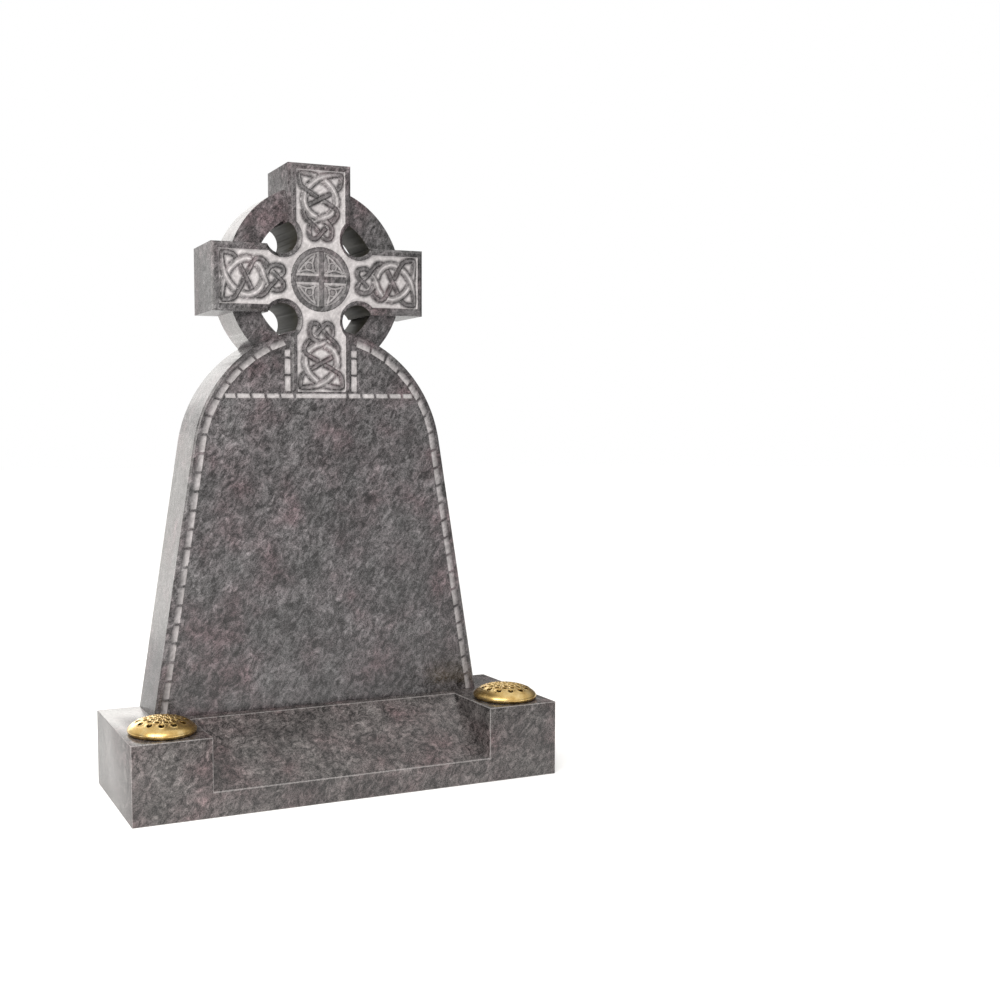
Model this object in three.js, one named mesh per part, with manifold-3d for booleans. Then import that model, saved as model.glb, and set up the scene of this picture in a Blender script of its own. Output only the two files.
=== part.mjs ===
// Wheel-head cross memorial: one carved headstone on a base block with two lidded flower containers.
// Millimetres, +Z up, front towards -Y, origin at the centre of the base's underside footprint.
import * as THREE from "three";
import { ConvexGeometry } from "three/addons/geometries/ConvexGeometry.js";
import { mergeVertices } from "three/addons/utils/BufferGeometryUtils.js";
import Module from "manifold-3d";

const wasm = await Module();
wasm.setup();

// Base block
const BASE_WIDTH = 900;
const BASE_DEPTH = 305;
const BASE_HEIGHT = 153;
const END_BLOCK_WIDTH = 156;
const LIP_HEIGHT = 49;
const SLOPE_RUN = 155;
const BASE_FRONT = -BASE_DEPTH / 2;
const BASE_BACK = BASE_DEPTH / 2;

// Headstone slab, its back flush with the back of the base
const JOINT = 0.3;
const STONE_THICKNESS = 128;
const CROSS_PROUD = 4;
const RING_SET_BACK = 29;
const FOOT_HALF_WIDTH = 361;
const ARCH_RADIUS = 275;
const ARCH_CENTRE_ABOVE_BASE = 501;
const TABLET_CHAMFER = 4;
const CROSS_FRONT = BASE_BACK - STONE_THICKNESS;
const TABLET_FRONT = CROSS_FRONT + CROSS_PROUD;
const RING_FRONT = CROSS_FRONT + RING_SET_BACK;
const STONE_FOOT = BASE_HEIGHT + JOINT;
const ARCH_CENTRE = BASE_HEIGHT + ARCH_CENTRE_ABOVE_BASE;

// Cross and ring, measured from the centre of the cross
const CROSS_CENTRE_ABOVE_BASE = 874;
const CROSS_CENTRE = BASE_HEIGHT + CROSS_CENTRE_ABOVE_BASE;
const ARM_REACH = 231;
const ARM_HALF_WIDTH = 68;
const CROSS_CHAMFER = 7;
const ARMPIT_OFFSET = 83;
const ARMPIT_RADIUS = 34;
const RING_OUTER = 193;
const RING_INNER = 138;

// Carving on the cross
const CARVE_DEPTH = 3;
const CARVED_FLOOR = CROSS_FRONT + CARVE_DEPTH;
const PANEL_HALF_WIDTH = 53.5;
const PANEL_REACH = 217.5;
const LOWER_PANEL_REACH = 229;
const PANEL_RIM = 1.5;
const PANEL_ARMPIT_RADIUS = ARMPIT_RADIUS + CROSS_CHAMFER + PANEL_RIM;
const STRAND_TOP = 0.3;
const STRAND_WIDTH = 15;
const THIN_STRAND = 9.5;
const LOWER_KNOT_SHIFT = 8;
const MEDALLION_RADIUS = 64;
const MEDALLION_RIM = 9;
const MEDALLION_GROOVE = 3;
const BAR_HALF_WIDTH = 6.5;
const BAR_GROOVE = 4.5;
const QUARTER_FIELD_DEPTH = 1.8;
const QUARTER_BAND = 4;

// Dashed border cut into the tablet
const DASH_DEPTH = 2.5;
const DASH_SHALLOW = 0.6;
const BORDER_EDGE = 10;
const BORDER_WIDTH = 14;
const BORDER_PITCH = 38.1;
const BORDER_GAP = 4.5;
const BORDER_SLANT = 3;
const SHORTEST_DASH = 9;
const ROW_ABOVE_BASE = 638.5;
const ROW_HEIGHT = BASE_HEIGHT + ROW_ABOVE_BASE;
const ROW_WIDTH = 9.5;
const ROW_PITCH = 31;
const FLANK_INNER = 67;
const FLANK_WIDTH = 12.5;
const FLANK_PITCH = 35;

// Flower containers and lids
const CONTAINER_FROM_CENTRE = 372;
const CONTAINER_FROM_FRONT = 75;
const BORE_RADIUS = 54;
const BORE_DEPTH = 125;
const BORE_SEGMENTS = 24;
const POT_CLEARANCE = 1;
const POT_WALL = 1.5;
const POT_FLOOR_GAP = 0.3;
const FLANGE_RADIUS = 61.5;
const FLANGE_THICKNESS = 1.5;
const POT_SEGMENTS = 32;
const LID_RADIUS = 66;
const LID_RISE = 28;
const LID_THICKNESS = 1.6;
const LID_LIFT = 1.2;
const LID_SEGMENTS = 24;
const LID_SHOULDER = 4;
const LID_CROWN = 2.15;
const LID_BANDS = [63, 55, 39, 23, 8, 0];
// Rings of holes through the lid: distance from its axis, hole radius, count.
const LID_HOLES = [
  [47, 5, 12],
  [31, 3.4, 12],
];

// Turns a three.js geometry into a closed solid.
function solid(geometry) {
  const g = geometry.clone();
  g.deleteAttribute("normal");
  g.deleteAttribute("uv");
  const m = mergeVertices(g, 1e-4);
  return new wasm.Manifold(
    new wasm.Mesh({
      numProp: 3,
      vertProperties: m.attributes.position.array,
      triVerts: new Uint32Array(m.index.array),
    }),
  );
}

function union(list) {
  return list.reduce((a, b) => a.add(b));
}

// Extrudes a shape drawn in X and Z from the plane y = front back to y = back.
function slab(shape, front, back, curveSegments = 12) {
  const g = new THREE.ExtrudeGeometry(shape, { depth: back - front, bevelEnabled: false, curveSegments });
  g.rotateX(Math.PI / 2);
  g.translate(0, back, 0);
  return solid(g);
}

// The same slab with a chamfer round its front face.
function chamferedSlab(shape, front, back, chamfer, curveSegments = 12) {
  const g = new THREE.ExtrudeGeometry(shape, {
    depth: chamfer,
    bevelEnabled: true,
    bevelThickness: chamfer,
    bevelSize: chamfer,
    bevelOffset: -chamfer,
    bevelSegments: 1,
    curveSegments,
  });
  g.rotateX(Math.PI / 2);
  g.translate(0, front + 2 * chamfer, 0);
  return solid(g).add(slab(shape, front + 1.5 * chamfer, back, curveSegments));
}

function polygon(points) {
  return new THREE.Shape(points.map(([x, z]) => new THREE.Vector2(x, z)));
}

// Tablet: straight battered sides running tangent into a round arch.
function tabletOutline(inset) {
  const footX = FOOT_HALF_WIDTH;
  const radius = ARCH_RADIUS;
  const rise = ARCH_CENTRE - STONE_FOOT;
  const distance = Math.hypot(footX, rise);
  const lean = Math.atan2(footX, rise) - Math.asin(radius / distance);
  return { lean, radius: radius - inset, tangentX: (radius - inset) * Math.cos(lean),
    tangentZ: ARCH_CENTRE + (radius - inset) * Math.sin(lean),
    footX: footX - inset / Math.cos(lean) };
}

function tabletShape() {
  const o = tabletOutline(0);
  const s = new THREE.Shape();
  s.moveTo(-o.footX, STONE_FOOT);
  s.lineTo(o.footX, STONE_FOOT);
  s.lineTo(o.tangentX, o.tangentZ);
  s.absarc(0, ARCH_CENTRE, o.radius, o.lean, Math.PI - o.lean, false);
  s.closePath();
  return s;
}

// Cross outline with round armpits; the same function draws the sunk panel inside it.
function crossShape(halfWidth, reach, lowerReach, armpitRadius, steps) {
  const meet = ARMPIT_OFFSET + Math.sqrt(armpitRadius ** 2 - (ARMPIT_OFFSET - halfWidth) ** 2);
  const from = Math.atan2(meet - ARMPIT_OFFSET, halfWidth - ARMPIT_OFFSET);
  const to = 2 * Math.PI + Math.atan2(halfWidth - ARMPIT_OFFSET, meet - ARMPIT_OFFSET);
  const points = [];
  for (let quarter = 0; quarter < 4; quarter++) {
    const turn = (-quarter * Math.PI) / 2;
    const put = (x, z) =>
      points.push([
        x * Math.cos(turn) - z * Math.sin(turn),
        CROSS_CENTRE + x * Math.sin(turn) + z * Math.cos(turn),
      ]);
    const end = quarter === 2 ? lowerReach : reach;
    const next = quarter === 1 ? lowerReach : reach;
    put(halfWidth, end);
    for (let i = 0; i <= steps; i++) {
      const a = from + ((to - from) * i) / steps;
      put(ARMPIT_OFFSET + armpitRadius * Math.cos(a), ARMPIT_OFFSET + armpitRadius * Math.sin(a));
    }
    put(next, halfWidth);
  }
  return polygon(points);
}

// Upright disc or tube with its axis along Y.
function disc(radius, front, back, x, z, segments) {
  const g = new THREE.CylinderGeometry(radius, radius, back - front, segments);
  g.translate(x, (front + back) / 2, z);
  return solid(g);
}

function annulus(outer, inner, front, back, x, z, segments) {
  return disc(outer, front, back, x, z, segments).subtract(disc(inner, front - 1, back + 1, x, z, segments));
}

// A flat band of varying width along an open path of [u, v, width], placed by a function.
function band(path, place, front, back) {
  const bars = path.map(([u, v, width], i) => {
    const a = path[Math.max(i - 1, 0)];
    const b = path[Math.min(i + 1, path.length - 1)];
    const length = Math.hypot(b[0] - a[0], b[1] - a[1]);
    const nu = (-(b[1] - a[1]) / length) * (width / 2);
    const nv = ((b[0] - a[0]) / length) * (width / 2);
    return [place([u + nu, v + nv]), place([u - nu, v - nv])];
  });
  const links = [];
  for (let i = 0; i + 1 < bars.length; i++) {
    const corners = [...bars[i], ...bars[i + 1]];
    const points = [front, back].flatMap((y) => corners.map(([x, z]) => new THREE.Vector3(x, y, z)));
    links.push(solid(new ConvexGeometry(points)));
  }
  return union(links);
}

// Knot on each arm: one closed strand and its mirror image.
// Nodes are [across the arm, outwards from the centre, width, passes under].
const STRAND = [
  [0, 203, STRAND_WIDTH, false],
  [-18, 191, STRAND_WIDTH, false],
  [-30, 176, STRAND_WIDTH, true],
  [-35.5, 159, STRAND_WIDTH, false],
  [-31, 142, STRAND_WIDTH, false],
  [-18, 129, STRAND_WIDTH, false],
  [0, 122, STRAND_WIDTH, true],
  [18, 112, THIN_STRAND, false],
  [25, 99, THIN_STRAND, false],
  [22, 84, THIN_STRAND, false],
  [11, 81, THIN_STRAND, false],
  [0, 91, THIN_STRAND, true],
  [-18, 112, THIN_STRAND, false],
  [-31, 124, THIN_STRAND, false],
  [-40, 134, THIN_STRAND, false],
  [-31, 142, THIN_STRAND, true],
  [0, 158, THIN_STRAND, false],
  [30, 176, THIN_STRAND, true],
  [42, 185, THIN_STRAND, false],
  [46, 199, THIN_STRAND, false],
  [44, 210, THIN_STRAND, false],
  [22, 209, THIN_STRAND, false],
];
const STRAND_STEPS = 2;
const UNDER_GAP = 10.5;

// Pieces of the strand between one pass under and the next, cut back to leave a gap at each end.
function strandPieces(mirror) {
  const curve = [];
  const count = STRAND.length;
  for (let i = 0; i < count; i++) {
    const [a, b, c, d] = [-1, 0, 1, 2].map((k) => STRAND[(i + k + count) % count]);
    for (let s = 0; s < STRAND_STEPS; s++) {
      const t = s / STRAND_STEPS;
      const blend = (k) =>
        0.5 * (2 * b[k] + (c[k] - a[k]) * t + (2 * a[k] - 5 * b[k] + 4 * c[k] - d[k]) * t * t +
          (3 * b[k] - a[k] - 3 * c[k] + d[k]) * t * t * t);
      curve.push({ at: [mirror * blend(0), blend(1), b[2] + (c[2] - b[2]) * t], under: s === 0 && b[3] });
    }
  }
  const cuts = curve.flatMap((p, i) => (p.under ? [i] : []));
  const under = mirror > 0 ? cuts : OVER_NODES.map((n) => n * STRAND_STEPS);
  return under.map((start, k) => {
    const end = under[(k + 1) % under.length];
    const span = (end - start + curve.length) % curve.length;
    const path = [];
    for (let j = 0; j <= span; j++) path.push(curve[(start + j) % curve.length].at);
    return trimmed(trimmed(path, UNDER_GAP).reverse(), UNDER_GAP);
  });
}

// The mirrored strand passes under wherever the first passes over a crossing.
const OVER_NODES = [0, 4, 7, 12, 16];

// A path shortened by a length from its first point.
function trimmed(path, cut) {
  let left = cut;
  let i = 0;
  while (left > 0 && i < path.length - 2) {
    const step = Math.hypot(path[i + 1][0] - path[i][0], path[i + 1][1] - path[i][1]);
    if (step > left) {
      const t = left / step;
      const at = path[i].map((value, k) => value + (path[i + 1][k] - value) * t);
      return [at, ...path.slice(i + 1)];
    }
    left -= step;
    i++;
  }
  return path.slice(i);
}

// Places a knot drawn on an upright arm onto the arm turned by quarter turns.
function armKnot(quarter) {
  const turn = (-quarter * Math.PI) / 2;
  const shift = quarter === 2 ? LOWER_KNOT_SHIFT : 0;
  const place = ([u, v]) => [
    u * Math.cos(turn) - (v + shift) * Math.sin(turn),
    CROSS_CENTRE + u * Math.sin(turn) + (v + shift) * Math.cos(turn),
  ];
  return [1, -1]
    .flatMap((mirror) => strandPieces(mirror))
    .map((path) => band(path, place, CROSS_FRONT + STRAND_TOP, CARVED_FLOOR + 1));
}

// Medallion: polished rim, sunk line, four quarters and two bars edged by sunk lines.
function medallion() {
  const top = CROSS_FRONT + STRAND_TOP;
  const inner = MEDALLION_RADIUS - MEDALLION_RIM;
  const field = inner - MEDALLION_GROOVE;
  const rim = annulus(MEDALLION_RADIUS, inner, top, CARVED_FLOOR + 1, 0, CROSS_CENTRE, 40);
  const bar = (w, h) =>
    slab(polygon([[-w, -h], [w, -h], [w, h], [-w, h]].map(([x, z]) => [x, CROSS_CENTRE + z])), top,
      CARVED_FLOOR + 1);
  const upright = bar(BAR_HALF_WIDTH, inner + 1);
  const cross = bar(inner + 1, BAR_HALF_WIDTH);
  const edge = BAR_HALF_WIDTH + BAR_GROOVE;
  const parts = [rim, upright, cross];
  for (let quarter = 0; quarter < 4; quarter++) {
    const turn = (quarter * Math.PI) / 2;
    const points = [[edge, edge]];
    const lowest = Math.asin(edge / field);
    for (let i = 0; i <= 6; i++) {
      const a = lowest + ((Math.PI / 2 - 2 * lowest) * i) / 6;
      points.push([field * Math.cos(a), field * Math.sin(a)]);
    }
    const outline = points.map(([x, z]) => [
      x * Math.cos(turn) - z * Math.sin(turn),
      CROSS_CENTRE + x * Math.sin(turn) + z * Math.cos(turn),
    ]);
    parts.push(slab(polygon(outline), CROSS_FRONT + QUARTER_FIELD_DEPTH, CARVED_FLOOR + 1));
    parts.push(...quarterKnot(turn, field, edge, top));
  }
  return union(parts);
}

// Three-cornered knot filling a quarter of the medallion.
function quarterKnot(turn, field, edge, top) {
  const inset = 4;
  const near = edge + inset;
  const far = field - inset;
  const a = Math.asin(near / far);
  const corners = [[near, near], [far * Math.cos(a), near], [near, far * Math.sin(Math.PI / 2 - a)]];
  const middle = [0, 1].map((k) => corners.reduce((sum, c) => sum + c[k], 0) / 3);
  return corners.map((corner, i) => {
    const next = corners[(i + 1) % 3];
    const path = [];
    for (let s = 0; s <= 4; s++) {
      const t = s / 4;
      const bow = 4 * t * (1 - t) * (i === 1 ? 0.32 : -0.35);
      const x = corner[0] + (next[0] - corner[0]) * t;
      const z = corner[1] + (next[1] - corner[1]) * t;
      path.push([x + (x - middle[0]) * bow, z + (z - middle[1]) * bow, QUARTER_BAND]);
    }
    const place = ([x, z]) => [
      x * Math.cos(turn) - z * Math.sin(turn),
      CROSS_CENTRE + x * Math.sin(turn) + z * Math.cos(turn),
    ];
    return band(path, place, top, CARVED_FLOOR + 1);
  });
}

// One dash of the border: a slanted pocket, deep on its inner side and shallow on its outer side.
// along and across are unit vectors in X and Z, across pointing to the outer side.
function dash(x, z, along, across, length, width, slant, depth, shallow) {
  const g = new THREE.BoxGeometry(2, 2, 2);
  const position = g.attributes.position;
  for (let i = 0; i < position.count; i++) {
    const a = position.getX(i) * (length / 2) + position.getY(i) * (slant / 2);
    const c = position.getY(i) * (width / 2);
    const floor = position.getY(i) > 0 ? shallow : depth;
    const y = position.getZ(i) > 0 ? TABLET_FRONT + floor : TABLET_FRONT - 1;
    position.setXYZ(i, x + along[0] * a + across[0] * c, y, z + along[1] * a + across[1] * c);
  }
  const made = solid(g);
  if (made.volume() > 0) return made;
  const index = g.index.array;
  for (let i = 0; i < index.length; i += 3) [index[i + 1], index[i + 2]] = [index[i + 2], index[i + 1]];
  return solid(g);
}

// Middles and lengths of the dashes that fill a run, the last one cut short where the run ends.
function dashRun(from, to, pitch, gap) {
  const run = [];
  for (let start = from; start + SHORTEST_DASH < to; start += pitch) {
    const end = Math.min(start + pitch - gap, to);
    run.push([(start + end) / 2, end - start]);
  }
  return run;
}

// Dashes up one side and over the arch as far as the lower arm of the cross.
function sideDashes(side) {
  const inset = BORDER_EDGE + BORDER_WIDTH / 2;
  const o = tabletOutline(inset);
  const foot = [o.footX, STONE_FOOT];
  const straight = Math.hypot(o.tangentX - foot[0], o.tangentZ - foot[1]);
  const last = Math.acos((FLANK_INNER + FLANK_WIDTH) / o.radius);
  const total = straight + o.radius * (last - o.lean);
  const made = [];
  for (const [s, length] of dashRun(0, total, BORDER_PITCH, BORDER_GAP)) {
    let x, z, angle;
    if (s < straight) {
      x = foot[0] + ((o.tangentX - foot[0]) * s) / straight;
      z = foot[1] + ((o.tangentZ - foot[1]) * s) / straight;
      angle = o.lean;
    } else {
      angle = o.lean + (s - straight) / o.radius;
      x = o.radius * Math.cos(angle);
      z = ARCH_CENTRE + o.radius * Math.sin(angle);
    }
    const across = [side * Math.cos(angle), Math.sin(angle)];
    const along = [-side * Math.sin(angle), Math.cos(angle)];
    made.push(dash(side * x, z, along, across, length, BORDER_WIDTH, side * BORDER_SLANT, DASH_DEPTH,
      DASH_SHALLOW));
  }
  return made;
}

// The level row of dashes under the cross and the upright rows beside its lower arm.
function rowDashes() {
  const made = [];
  const half = ARM_HALF_WIDTH - 12;
  made.push(dash(0, ROW_HEIGHT, [1, 0], [0, 1], 2 * half, ROW_WIDTH, 0, DASH_DEPTH, DASH_DEPTH));
  const arch = tabletOutline(BORDER_EDGE + BORDER_WIDTH + 3);
  const end = Math.sqrt(arch.radius ** 2 - (ROW_HEIGHT - ARCH_CENTRE) ** 2);
  const x = FLANK_INNER + FLANK_WIDTH / 2;
  const bottom = ROW_HEIGHT + ROW_WIDTH / 2 + BORDER_GAP;
  const top = ARCH_CENTRE + Math.sqrt(arch.radius ** 2 - x * x) - FLANK_WIDTH / 2;
  for (const side of [1, -1]) {
    for (const [s, length] of dashRun(FLANK_INNER - 6, end, ROW_PITCH, BORDER_GAP))
      made.push(dash(side * s, ROW_HEIGHT, [1, 0], [0, 1], length, ROW_WIDTH, 2, DASH_DEPTH, DASH_DEPTH));
    for (const [z, length] of dashRun(bottom, top, FLANK_PITCH, BORDER_GAP))
      made.push(dash(side * x, z, [0, 1], [side, 0], length, FLANK_WIDTH, 0, DASH_DEPTH, DASH_DEPTH));
  }
  return made;
}

// The headstone is one stone: tablet, ring and cross, then the sunk carving.
function headstone() {
  const tablet = chamferedSlab(tabletShape(), TABLET_FRONT, BASE_BACK, TABLET_CHAMFER, 20);
  const level = new THREE.BoxGeometry(2 * FOOT_HALF_WIDTH, 400, 60);
  level.translate(0, 0, STONE_FOOT - 30);
  const ring = annulus(RING_OUTER, RING_INNER, RING_FRONT, BASE_BACK, 0, CROSS_CENTRE, 72);
  const outline = crossShape(ARM_HALF_WIDTH, ARM_REACH, ARM_REACH, ARMPIT_RADIUS, 10);
  const cross = chamferedSlab(outline, CROSS_FRONT, BASE_BACK, CROSS_CHAMFER);
  const panel = crossShape(PANEL_HALF_WIDTH, PANEL_REACH, LOWER_PANEL_REACH, PANEL_ARMPIT_RADIUS, 10);
  const sunk = slab(panel, CROSS_FRONT - 5, CARVED_FLOOR);
  const knots = [0, 1, 2, 3].flatMap(armKnot);
  const dashes = [...sideDashes(1), ...sideDashes(-1), ...rowDashes()];
  return tablet
    .subtract(solid(level))
    .add(ring)
    .add(cross)
    .subtract(sunk)
    .add(union(knots))
    .add(medallion())
    .subtract(union(dashes));
}

// Base block: end blocks, a sloping face between them from the ledge down to the lip, bores for the pots.
function base() {
  const inner = BASE_WIDTH / 2 - END_BLOCK_WIDTH;
  const block = new THREE.BoxGeometry(BASE_WIDTH, BASE_DEPTH, BASE_HEIGHT);
  block.translate(0, 0, BASE_HEIGHT / 2);
  const wedge = new THREE.Shape([
    new THREE.Vector2(BASE_FRONT - 10, LIP_HEIGHT - (10 * (BASE_HEIGHT - LIP_HEIGHT)) / SLOPE_RUN),
    new THREE.Vector2(BASE_FRONT + SLOPE_RUN, BASE_HEIGHT),
    new THREE.Vector2(BASE_FRONT + SLOPE_RUN, BASE_HEIGHT + 20),
    new THREE.Vector2(BASE_FRONT - 10, BASE_HEIGHT + 20),
  ]);
  const cut = new THREE.ExtrudeGeometry(wedge, { depth: 2 * inner, bevelEnabled: false });
  cut.rotateY(Math.PI / 2);
  cut.rotateX(Math.PI / 2);
  cut.translate(-inner, 0, 0);
  let made = solid(block).subtract(solid(cut));
  for (const side of [1, -1]) made = made.subtract(bore(side));
  return made;
}

function bore(side) {
  const g = new THREE.CylinderGeometry(BORE_RADIUS, BORE_RADIUS, BORE_DEPTH + 10, BORE_SEGMENTS);
  g.rotateX(Math.PI / 2);
  g.translate(side * CONTAINER_FROM_CENTRE, BASE_FRONT + CONTAINER_FROM_FRONT,
    BASE_HEIGHT + 10 - (BORE_DEPTH + 10) / 2);
  return solid(g);
}

// A closed profile of [radius, height] points turned round a container's axis.
function turned(profile, side, segments) {
  const g = new THREE.LatheGeometry(profile.map(([r, z]) => new THREE.Vector2(r, z)), segments);
  g.rotateX(Math.PI / 2);
  g.translate(side * CONTAINER_FROM_CENTRE, BASE_FRONT + CONTAINER_FROM_FRONT, 0);
  return solid(g);
}

// Spun pot hanging in its bore by a flange.
function pot(side) {
  const outer = BORE_RADIUS - POT_CLEARANCE;
  const flangeBottom = BASE_HEIGHT + JOINT;
  const top = flangeBottom + FLANGE_THICKNESS;
  const bottom = BASE_HEIGHT - BORE_DEPTH + POT_FLOOR_GAP;
  return turned([
    [0, bottom],
    [outer, bottom],
    [outer, flangeBottom],
    [FLANGE_RADIUS, flangeBottom],
    [FLANGE_RADIUS, top],
    [outer - POT_WALL, top],
    [outer - POT_WALL, bottom + POT_WALL],
    [0, bottom + POT_WALL],
  ], side, POT_SEGMENTS);
}

// Domed lid resting on the flange, its short skirt outside the flange, pierced by rings of holes.
function lid(side) {
  const rest = BASE_HEIGHT + JOINT + FLANGE_THICKNESS + JOINT;
  const foot = BASE_HEIGHT + LID_LIFT;
  const shoulder = rest + LID_SHOULDER;
  const rise = foot + LID_RISE - shoulder;
  const outer = LID_BANDS.map((r) => [r, shoulder + rise * (1 - (r / LID_BANDS[0]) ** LID_CROWN)]);
  const inner = outer.map(([r, z]) => [Math.max(r - LID_THICKNESS / 2, 0), z - LID_THICKNESS]).reverse();
  const shell = turned([
    ...inner,
    [FLANGE_RADIUS - 5, rest],
    [FLANGE_RADIUS + 0.6, rest],
    [FLANGE_RADIUS + 0.6, foot],
    [LID_RADIUS, foot],
    [LID_RADIUS, rest + 1],
    ...outer,
  ], side, LID_SEGMENTS);
  const holes = LID_HOLES.flatMap(([distance, radius, count]) =>
    Array.from({ length: count }, (_, i) => {
      const a = (2 * Math.PI * i) / count + Math.PI / LID_SEGMENTS;
      const g = new THREE.CylinderGeometry(radius, radius, LID_RISE + 20, 6);
      g.rotateX(Math.PI / 2);
      g.translate(side * CONTAINER_FROM_CENTRE + distance * Math.cos(a),
        BASE_FRONT + CONTAINER_FROM_FRONT + distance * Math.sin(a), rest + 3 + (LID_RISE + 20) / 2);
      return solid(g);
    }));
  return shell.subtract(union(holes));
}

const group = new THREE.Group();

// A named mesh of a solid in its own material.
function add(name, made, colour, roughness, metalness) {
  const m = made.getMesh();
  const g = new THREE.BufferGeometry();
  g.setAttribute("position", new THREE.BufferAttribute(m.vertProperties, 3));
  g.setIndex(new THREE.BufferAttribute(m.triVerts, 1));
  g.computeVertexNormals();
  const material = new THREE.MeshStandardMaterial({ color: colour, roughness, metalness });
  const mesh = new THREE.Mesh(g, material);
  mesh.name = name;
  group.add(mesh);
}

add("base", base(), 0x5c575b, 0.3, 0);
add("headstone", headstone(), 0x6a6568, 0.3, 0);
add("flower_container_left", pot(-1), 0xc9a04a, 0.35, 1);
add("flower_container_right", pot(1), 0xc9a04a, 0.35, 1);
add("container_lid_left", lid(-1), 0xd4a640, 0.25, 1);
add("container_lid_right", lid(1), 0xd4a640, 0.25, 1);

export default group;
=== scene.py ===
"""Wheel-head cross memorial in polished granite with blasted knotwork, on a base with two lidded pots."""
from math import acos, asin, atan2, cos, hypot, pi, radians, sin

import bmesh
import bpy
import numpy as np
from mathutils import Matrix, Vector


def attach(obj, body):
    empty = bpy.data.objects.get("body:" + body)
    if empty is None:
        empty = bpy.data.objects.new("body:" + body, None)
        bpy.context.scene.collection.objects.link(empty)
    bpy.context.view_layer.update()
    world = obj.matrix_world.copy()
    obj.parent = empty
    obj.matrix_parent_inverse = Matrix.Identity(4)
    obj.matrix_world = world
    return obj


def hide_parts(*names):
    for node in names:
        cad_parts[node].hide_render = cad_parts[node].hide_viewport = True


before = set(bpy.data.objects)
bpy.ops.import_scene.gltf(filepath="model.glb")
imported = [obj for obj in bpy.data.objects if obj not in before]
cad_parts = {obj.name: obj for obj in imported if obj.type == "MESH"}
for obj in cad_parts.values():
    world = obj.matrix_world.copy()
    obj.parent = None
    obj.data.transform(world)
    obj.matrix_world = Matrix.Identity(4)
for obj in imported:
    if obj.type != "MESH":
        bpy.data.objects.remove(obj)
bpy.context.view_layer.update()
mm = 0.001

# Camera: standing to the left of the stone at about the height of its tablet, looking slightly down.
# The stone sits left of the middle of the frame, so the view is shifted to the right.
camera_place = Vector((-917.7, -2254.5, 725.8)) * mm
camera_turn, camera_dip, camera_roll = radians(21.6), radians(4.3), radians(-0.4)
ahead = Vector((sin(camera_turn) * cos(camera_dip), cos(camera_turn) * cos(camera_dip), -sin(camera_dip)))
level_right = Vector((cos(camera_turn), -sin(camera_turn), 0))
level_up = level_right.cross(ahead)
right = cos(camera_roll) * level_right + sin(camera_roll) * level_up
up = -sin(camera_roll) * level_right + cos(camera_roll) * level_up
view = bpy.data.cameras.new("view")
view.sensor_width = 36
view.lens = 43.0
view.shift_x = 0.184
view.shift_y = 0.0179
camera = bpy.data.objects.new("view", view)
camera.matrix_world = Matrix.Translation(camera_place) @ Matrix((right, up, -ahead)).transposed().to_4x4()
bpy.context.scene.collection.objects.link(camera)
bpy.context.scene.camera = camera


# Base: one block of polished granite, 900 x 305 x 153 mm, sawn to a slope between its two end blocks.
# The slope runs from a ledge in front of the stone down to a low lip; every arris is slightly eased.
base_width, base_depth, base_height = 900 * mm, 305 * mm, 153 * mm
end_block = 156 * mm
lip_height = 49 * mm
slope_run = 155 * mm
arris = 1.4 * mm
bore_radius, bore_depth = 54 * mm, 125 * mm
pot_x, pot_y = 372 * mm, 75 * mm - base_depth / 2
front = -base_depth / 2
back = base_depth / 2


def piece_from(name, bm, *materials):
    """A linked object holding the bmesh, with its material slots in the given order."""
    bmesh.ops.recalc_face_normals(bm, faces=bm.faces)
    mesh = bpy.data.meshes.new(name)
    bm.to_mesh(mesh)
    bm.free()
    for material in materials:
        mesh.materials.append(material)
    piece = bpy.data.objects.new(name, mesh)
    bpy.context.scene.collection.objects.link(piece)
    return piece


def baked(piece):
    """Turns the piece's modifiers into its mesh."""
    done = bpy.data.meshes.new_from_object(piece.evaluated_get(bpy.context.evaluated_depsgraph_get()))
    old = piece.data
    piece.modifiers.clear()
    piece.data = done
    bpy.data.meshes.remove(old)
    done.name = piece.name


def worked(piece, other, operation):
    """Joins another solid to the piece, or cuts it away, and uses the other solid up."""
    step = piece.modifiers.new(operation.lower(), "BOOLEAN")
    step.operation = operation
    step.solver = "MANIFOLD"
    step.object = other
    baked(piece)
    bpy.data.objects.remove(other)


def node(tree, kind, settings=None, **inputs):
    """A shader node with its settings and its input values or links."""
    made = tree.nodes.new("ShaderNode" + kind)
    for key, value in (settings or {}).items():
        setattr(made, key, value)
    for key, value in inputs.items():
        socket = made.inputs[int(key[1:])] if key[0] == "_" else made.inputs[key.replace("_", " ")]
        if isinstance(value, bpy.types.NodeSocket):
            tree.links.new(value, socket)
        else:
            socket.default_value = value
    return made


def ramp(tree, factor, *stops):
    """A colour ramp through (place, colour) stops."""
    made = tree.nodes.new("ShaderNodeValToRGB")
    tree.links.new(factor, made.inputs[0])
    elements = made.color_ramp.elements
    while len(elements) < len(stops):
        elements.new(0.5)
    for element, (place, colour) in zip(elements, stops):
        element.position = place
        element.color = (*colour, 1) if hasattr(colour, "__len__") else (colour, colour, colour, 1)
    return made.outputs[0]


def mixed(tree, factor, a, b, blend="MIX"):
    """Two colours mixed by a factor."""
    made = tree.nodes.new("ShaderNodeMix")
    made.data_type = "RGBA"
    made.blend_type = blend
    for socket, value in ((made.inputs[0], factor), (made.inputs[6], a), (made.inputs[7], b)):
        if isinstance(value, bpy.types.NodeSocket):
            tree.links.new(value, socket)
        else:
            socket.default_value = value
    return made.outputs[2]


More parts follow.
